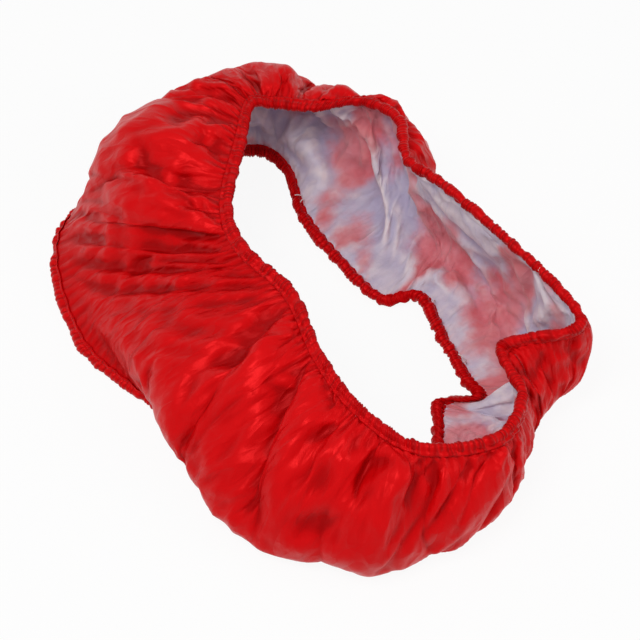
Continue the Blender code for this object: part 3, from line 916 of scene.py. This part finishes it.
def casing_piece(name, outer):
    """The folded strip as a closed ring: its outer side, its inner side, and its two raw edges."""
    columns, count = outer.shape[:2]
    normal = casing_normals(outer)
    inner = outer - normal * CASING_WALL
    full = np.concatenate([outer, inner[:, ::-1]], axis=1)
    number = np.arange(columns * 2 * count).reshape(columns, 2 * count)
    beside = np.roll(number, -1, axis=0)
    after, beside_after = np.roll(number, -1, axis=1), np.roll(beside, -1, axis=1)
    faces = np.stack([number, after, beside_after, beside], axis=2).reshape(-1, 4)
    piece = new_piece(name, full, faces.tolist())
    # The relief sets the painted shade in the crimps and the painted highlight on the puffs.
    lift = ((outer - softened_ring(outer, 14)) * normal).sum(axis=2)
    relief = np.tanh(lift / 0.0005)
    both = np.concatenate([relief, relief[:, ::-1]], axis=1)
    piece.data.attributes.new("relief", "FLOAT", "POINT").data.foreach_set("value", both.reshape(-1))
    return piece


casing_finish = taffeta_finish("red_taffeta_casing", False)
# Each hem: its edge of the band, relaxed length, fullness, gathers, their seed and the crimps' seed.
HEMS = (
    ("upper", 0, 1.31, 1.17, GATHERS_UPPER, GATHER_SEED_UPPER, 51),
    ("lower", 1, 1.45, 1.45, GATHERS_LOWER, GATHER_SEED_LOWER, 61),
)
casing_grids = {}
for hem, edge, length, fullness, hem_gathers, gather_seed, crimp_seed in HEMS:
    crimp_count = round(length / CASING_CRIMP)
    columns = crimp_count * CASING_COLUMNS_PER_CRIMP
    casing_at = np.arange(columns) / columns
    outer = casing_grid(edge, casing_at, fullness, hem_gathers, gather_seed, crimp_count, crimp_seed)
    if edge == 1:
        outer[:, :, 2] = np.maximum(outer[:, :, 2], FLOOR_CLEAR)
    casing_grids[hem] = outer
    piece = casing_piece("red_casing_" + hem, outer)
    stands_for(piece, hem + "_hem_casing", casing_finish)
    hem + "_elastic_cord"


# Hem stitching
# A row of lockstitch on each side of both casings, in red thread, through the casing, the shell and the
# lining. Each stitch lies over the crimped cloth and sinks into it at its ends.

STITCH_STEP = 0.0031
STITCH_LENGTH = 0.0026
THREAD_DIAMETER = 0.0006
# The stitches' row on the folded strip, counted from its raw edge.
STITCH_ROW = 2


def one_stitch():
    """The points and faces of one stitch, a short rounded thread of unit length along X."""
    bpy.ops.object.select_all(action="DESELECT")
    bpy.ops.mesh.primitive_uv_sphere_add(segments=6, ring_count=5, radius=0.5, rotation=(0, math.pi / 2, 0))
    bead = bpy.context.object
    bpy.ops.object.transform_apply(location=False, rotation=True, scale=False)
    points = np.array([point.co for point in bead.data.vertices])
    faces = [list(face.vertices) for face in bead.data.polygons]
    bpy.data.objects.remove(bead, do_unlink=True)
    return points, faces


stitch_points, stitch_faces = one_stitch()


def stitch_row(name, line, out, closed):
    """A row of stitches along a line of points, each standing a little out of the cloth."""
    ends = np.concatenate([line, line[:1]]) if closed else line
    walked = np.concatenate([[0], np.cumsum(np.linalg.norm(np.diff(ends, axis=0), axis=1))])
    outs = np.concatenate([out, out[:1]]) if closed else out
    count = int(walked[-1] / STITCH_STEP)
    centres = (np.arange(count) + 0.5) * walked[-1] / count

    def at(places, values):
        return np.column_stack([np.interp(places, walked, values[:, k]) for k in range(3)])

    middle, normal = at(centres, ends), unit(at(centres, outs))
    before = at(np.maximum(centres - STITCH_LENGTH / 2, 0), ends)
    after = at(np.minimum(centres + STITCH_LENGTH / 2, walked[-1]), ends)
    along = unit(after - before)
    side = unit(np.cross(normal, along))
    up = np.cross(along, side)
    sink = THREAD_DIAMETER * 1.1 * (2 * stitch_points[:, 0]) ** 2
    arch = stitch_points[:, 2] * THREAD_DIAMETER - sink + THREAD_DIAMETER * 0.30
    placed = (
        middle[:, None] + along[:, None] * (stitch_points[:, 0] * STITCH_LENGTH)[None, :, None]
        + side[:, None] * (stitch_points[:, 1] * THREAD_DIAMETER)[None, :, None]
        + up[:, None] * arch[None, :, None])
    size = len(stitch_points)
    faces = [[k * size + corner for corner in face] for k in range(count) for face in stitch_faces]
    return new_piece(name, placed, faces)


def thread_finish_for(name, dark, light):
    """Spun thread: fine slanting twist, with a little fuzz in its colour."""
    material, shader, finish = new_finish(name, Sheen_Weight=0.3, IOR=1.45)
    place = finish.object_place()
    twist = finish.noise(place, 2200.0)
    long = finish.noise(place, 60.0)
    colour = (twist.between(0.35, 0.65) * 0.7 + long * 0.3).mixed((*dark, 1), (*light, 1))
    bump = finish.bump(twist * 0.0001, 0.6)
    feed(finish, shader, Base_Color=colour, Roughness=0.50 + twist * 0.2, Normal=bump)
    return material


red_thread = thread_finish_for("red_thread", (0.30, 0.002, 0.004), (0.62, 0.012, 0.016))
for hem, outer in casing_grids.items():
    normal = casing_normals(outer)
    for face, row in (("outer", STITCH_ROW), ("inner", outer.shape[1] - 1 - STITCH_ROW)):
        piece = stitch_row(f"{hem}_{face}_stitches", outer[:, row], normal[:, row], closed=True)
        stands_for(piece, f"{hem}_hem_{face}_thread", red_thread)


# Seam stitching
# The ends of the panels are joined by a plain seam at the front and at the rear, in the shell and in the
# lining alike. The row of stitches runs along the bottom of the seam's ditch.

pale_thread = thread_finish_for("pale_thread", (0.45, 0.42, 0.48), (0.70, 0.68, 0.72))
# Each seam's share of the way round the loop, and the share of the band from which and to which it is seen.
SEAMS = (("front", 0.0), ("rear", 0.5))
SEAM_FROM = 0.06
SEAM_TO = 0.66
SEAM_STANDS_OUT = 0.0001
for seam, place in SEAMS:
    for layer, grid, over, sign, thread in (
            ("", shell, across_at, 1, red_thread), ("_lining", lining, lining_over, -1, pale_thread)):
        column = int(place * len(grid))
        inside = (over > SEAM_FROM) & (over < SEAM_TO)
        line = grid[column][inside]
        out = grid_normals(grid)[column][inside] * sign
        piece = stitch_row(f"{seam}{layer}_seam_stitches", line + out * SEAM_STANDS_OUT, out, closed=False)
        stands_for(piece, f"{seam}{layer}_seam_thread", thread)


# Loose thread ends
# A few cut ends of white thread, about 1.3 cm long, left where the stitching of the lower hem was started and
# stopped. They are held in the seam and lie over the casing on the far side.

# Each end's share of the way round the loop, and how far its tip leans along the hem.
LOOSE_ENDS = ((0.8650, 0.004), (0.8615, -0.003), (0.6855, -0.003), (0.6195, 0.006), (0.6170, -0.002))
LOOSE_END_DIAMETER = 0.0012
# The way of an end in millimetres, from the lining over the casing: past the stitch line, and off the cloth.
LOOSE_END_PATH = [(-3.0, 1.5), (-1.5, 4.4), (0.5, 6.8), (2.5, 8.4), (4.5, 9.2), (7.0, 9.4)]
white_thread = thread_finish_for("white_thread", (0.80, 0.74, 0.71), (0.92, 0.87, 0.85))
end_pieces = []
for place, lean in LOOSE_ENDS:
    line, away, out = (rows[0] for rows in hem_frame(np.array([place]), 1))
    along = np.cross(out, away)
    strand = bpy.data.curves.new("thread_end", "CURVE")
    strand.dimensions = "3D"
    strand.bevel_depth = LOOSE_END_DIAMETER / 2
    strand.bevel_resolution = 1
    strand.use_fill_caps = True
    path = strand.splines.new("POLY")
    path.points.add(len(LOOSE_END_PATH) - 1)
    for number, (point, (over, off)) in enumerate(zip(path.points, LOOSE_END_PATH)):
        bend = along * lean * (number / (len(LOOSE_END_PATH) - 1)) ** 2
        point.co = (*(line + away * over / 1000 - out * off / 1000 + bend), 1.0)
    end_pieces.append(bpy.data.objects.new("thread_end", strand))
    bpy.context.scene.collection.objects.link(end_pieces[-1])
bpy.ops.object.select_all(action="DESELECT")
for piece in end_pieces:
    piece.select_set(True)
bpy.context.view_layer.objects.active = end_pieces[0]
bpy.ops.object.convert(target="MESH")
bpy.ops.object.join()
thread_ends = bpy.context.object
thread_ends.name = "loose_thread_ends"
thread_ends.data.materials.append(white_thread)
thread_ends.data.shade_smooth()
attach(thread_ends, "root")


# Elastic cords and their joins
# A round braided elastic cord runs in each casing, out of sight. Its ends meet in a short pressed sleeve
# of pale plastic, which closes the loop.


def elastic_finish():
    """White braided cover over rubber strands."""
    material, shader, finish = new_finish("white_elastic", Sheen_Weight=0.2)
    place = finish.object_place()
    braid = finish.node("TexVoronoi", None, {"Vector": place, "Scale": 1100.0})
    cloud = finish.noise(place, 40.0)
    colour = (braid * 0.8 + cloud * 0.2).between(0.1, 0.8).mixed((0.48, 0.47, 0.46, 1), (0.75, 0.74, 0.72, 1))
    bump = finish.bump(braid * 0.0003, 0.7)
    feed(finish, shader, Base_Color=colour, Roughness=0.6 + cloud * 0.2, Normal=bump)
    return material


def sleeve_finish():
    """Pressed pale plastic, a little scuffed."""
    material, shader, finish = new_finish("pale_sleeve", IOR=1.5)
    scuff = finish.noise(finish.object_place(), 300.0, 4.0)
    colour = scuff.between(0.35, 0.7).mixed((0.62, 0.61, 0.58, 1), (0.74, 0.73, 0.70, 1))
    bump = finish.bump(scuff * 0.0002, 0.3)
    feed(finish, shader, Base_Color=colour, Roughness=0.3 + scuff * 0.25, Normal=bump)
    return material


for node, finish in (("elastic_cord", elastic_finish()), ("elastic_join", sleeve_finish())):
    for hem in ("upper", "lower"):
        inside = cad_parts[f"{hem}_{node}"]
        inside.data.materials.clear()
        inside.data.materials.append(finish)


# Floor, light and camera
# A plain white floor under the skirt, a broad soft lamp from above and the left, a weaker one from the
# right, and a camera that looks down on the near side.

FLOOR_SIZE = 12.0
FLOOR_GLOW = 0.92
SKY_STRENGTH = 0.42
LAMP_SIZE = 0.9
LAMP_TARGET = (0, 0, 0.05)
CAMERA_TURN = math.radians(228.9)
CAMERA_TILT = math.radians(52.0)
CAMERA_DISTANCE = 1.8
CAMERA_TARGET = Vector((-0.0457, 0.0223, 0.09))
SENSOR_WIDTH = 36.0
FIELD = 0.64

bpy.ops.object.select_all(action="DESELECT")
bpy.ops.mesh.primitive_plane_add(size=FLOOR_SIZE, location=(0, 0, 0))
floor = bpy.context.object
floor.name = "floor"
floor_finish, floor_shader, sums = new_finish("white_floor", Roughness=0.9)
floor_shader.inputs["Base Color"].default_value = (0.86, 0.86, 0.86, 1)


def seen_plainly(sums):
    """One where the camera, a reflection or a see-through surface looks straight at it."""
    plainly = sums.node("LightPath")
    ends = plainly.end.node.outputs
    for ray in ("Is Glossy Ray", "Is Transmission Ray"):
        plainly = sums.sum("MAXIMUM", plainly, Finish(sums.tree, ends[ray]))
    return plainly


glow = sums.node("Emission", None, {"Color": (1, 1, 1, 1), "Strength": 1.0})
shown = sums.node("MixShader", None, {
    0: seen_plainly(sums) * FLOOR_GLOW, 1: Finish(sums.tree, floor_shader.outputs[0]), 2: glow})
sums.tree.links.new(shown.end, sums.tree.nodes["Material Output"].inputs["Surface"])
floor.data.materials.append(floor_finish)

world = bpy.data.worlds.new("studio")
bpy.context.scene.world = world
world.use_nodes = True
sky = Finish(world.node_tree)
plain = sky.node("Background", None, {"Color": (1, 1, 1, 1), "Strength": SKY_STRENGTH})
white = sky.node("Background", None, {"Color": (1, 1, 1, 1), "Strength": 1.0})
shown = sky.node("MixShader", None, {0: seen_plainly(sky), 1: plain, 2: white})
world.node_tree.links.new(shown.end, world.node_tree.nodes["World Output"].inputs["Surface"])


def lamp(name, place, power):
    """A soft square lamp that points at the skirt."""
    light = bpy.data.lights.new(name, "AREA")
    light.size = LAMP_SIZE
    light.energy = power
    holder = bpy.data.objects.new(name, light)
    holder.location = place
    holder.rotation_euler = (Vector(LAMP_TARGET) - Vector(place)).to_track_quat("-Z", "Y").to_euler()
    bpy.context.scene.collection.objects.link(holder)


lamp("main_lamp", place=(-0.1, 0.9, 2.0), power=20)
lamp("side_lamp", place=(-1.5, -1.0, 1.2), power=8)

looking = Vector((
    -math.sin(CAMERA_TURN) * math.cos(CAMERA_TILT), math.cos(CAMERA_TURN) * math.cos(CAMERA_TILT),
    -math.sin(CAMERA_TILT)))
camera = bpy.data.objects.new("camera", bpy.data.cameras.new("camera"))
camera.data.sensor_width = SENSOR_WIDTH
camera.data.lens = SENSOR_WIDTH * CAMERA_DISTANCE / FIELD
camera.location = CAMERA_TARGET - looking * CAMERA_DISTANCE
camera.rotation_euler = looking.to_track_quat("-Z", "Y").to_euler()
bpy.context.scene.collection.objects.link(camera)
bpy.context.scene.camera = camera
bpy.context.scene.view_settings.view_transform = "Standard"
